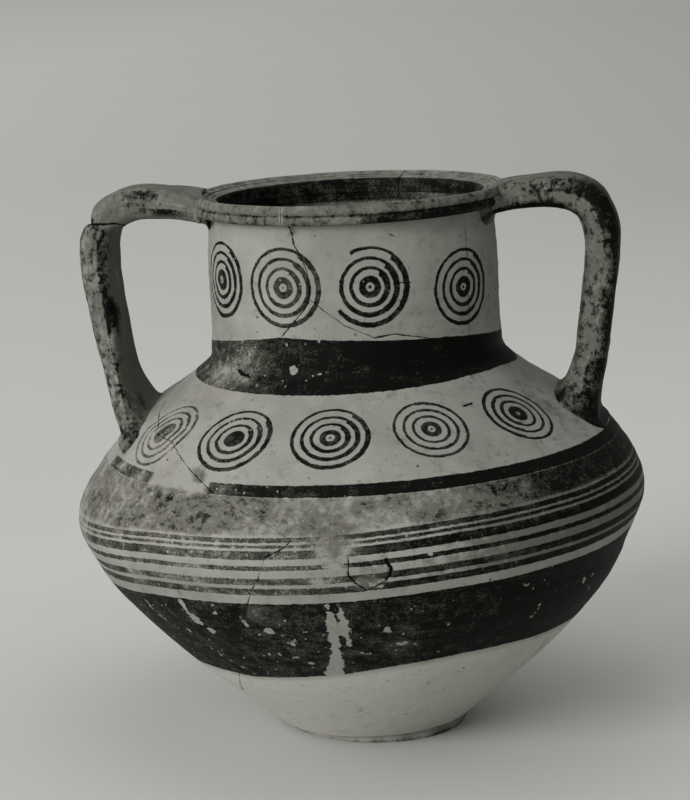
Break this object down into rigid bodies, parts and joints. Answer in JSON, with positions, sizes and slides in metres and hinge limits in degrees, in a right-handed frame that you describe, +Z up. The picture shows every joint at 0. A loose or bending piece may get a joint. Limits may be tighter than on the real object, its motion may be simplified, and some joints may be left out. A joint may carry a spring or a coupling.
{
  "type": "two-handled clay jar",
  "caption": "Tall-necked storage jar with a wide rounded belly, a low disc foot and strap handles from lip to shoulder; mended sherds, leaning slightly.",
  "frame": {"origin": "centre of the foot's underside, on the surface that the jar stands on", "axes": "+Z up; the handles lie along X, with the whole handle at +X; -Y is the decorated front; the jar leans slightly towards -X"},
  "size_m": [0.3069, 0.3072, 0.2989],
  "materials": {
    "painted_earthenware": "slipped and painted, matt",
    "worn_painted_earthenware": "worn dark paint over clay, matt",
    "scuffed_earthenware": "bare scuffed clay, matt"
  },
  "bodies": {
    "root": {"foot": "scuffed_earthenware", "lower_body": "painted_earthenware", "belly_sherd": "painted_earthenware", "shoulder": "painted_earthenware", "neck": "painted_earthenware", "neck_sherd": "painted_earthenware", "rim_left": "worn_painted_earthenware", "rim_right": "worn_painted_earthenware", "right_handle": "worn_painted_earthenware", "left_handle_arm": "worn_painted_earthenware", "left_handle_shank": "worn_painted_earthenware"}
  },
  "joints": []
}
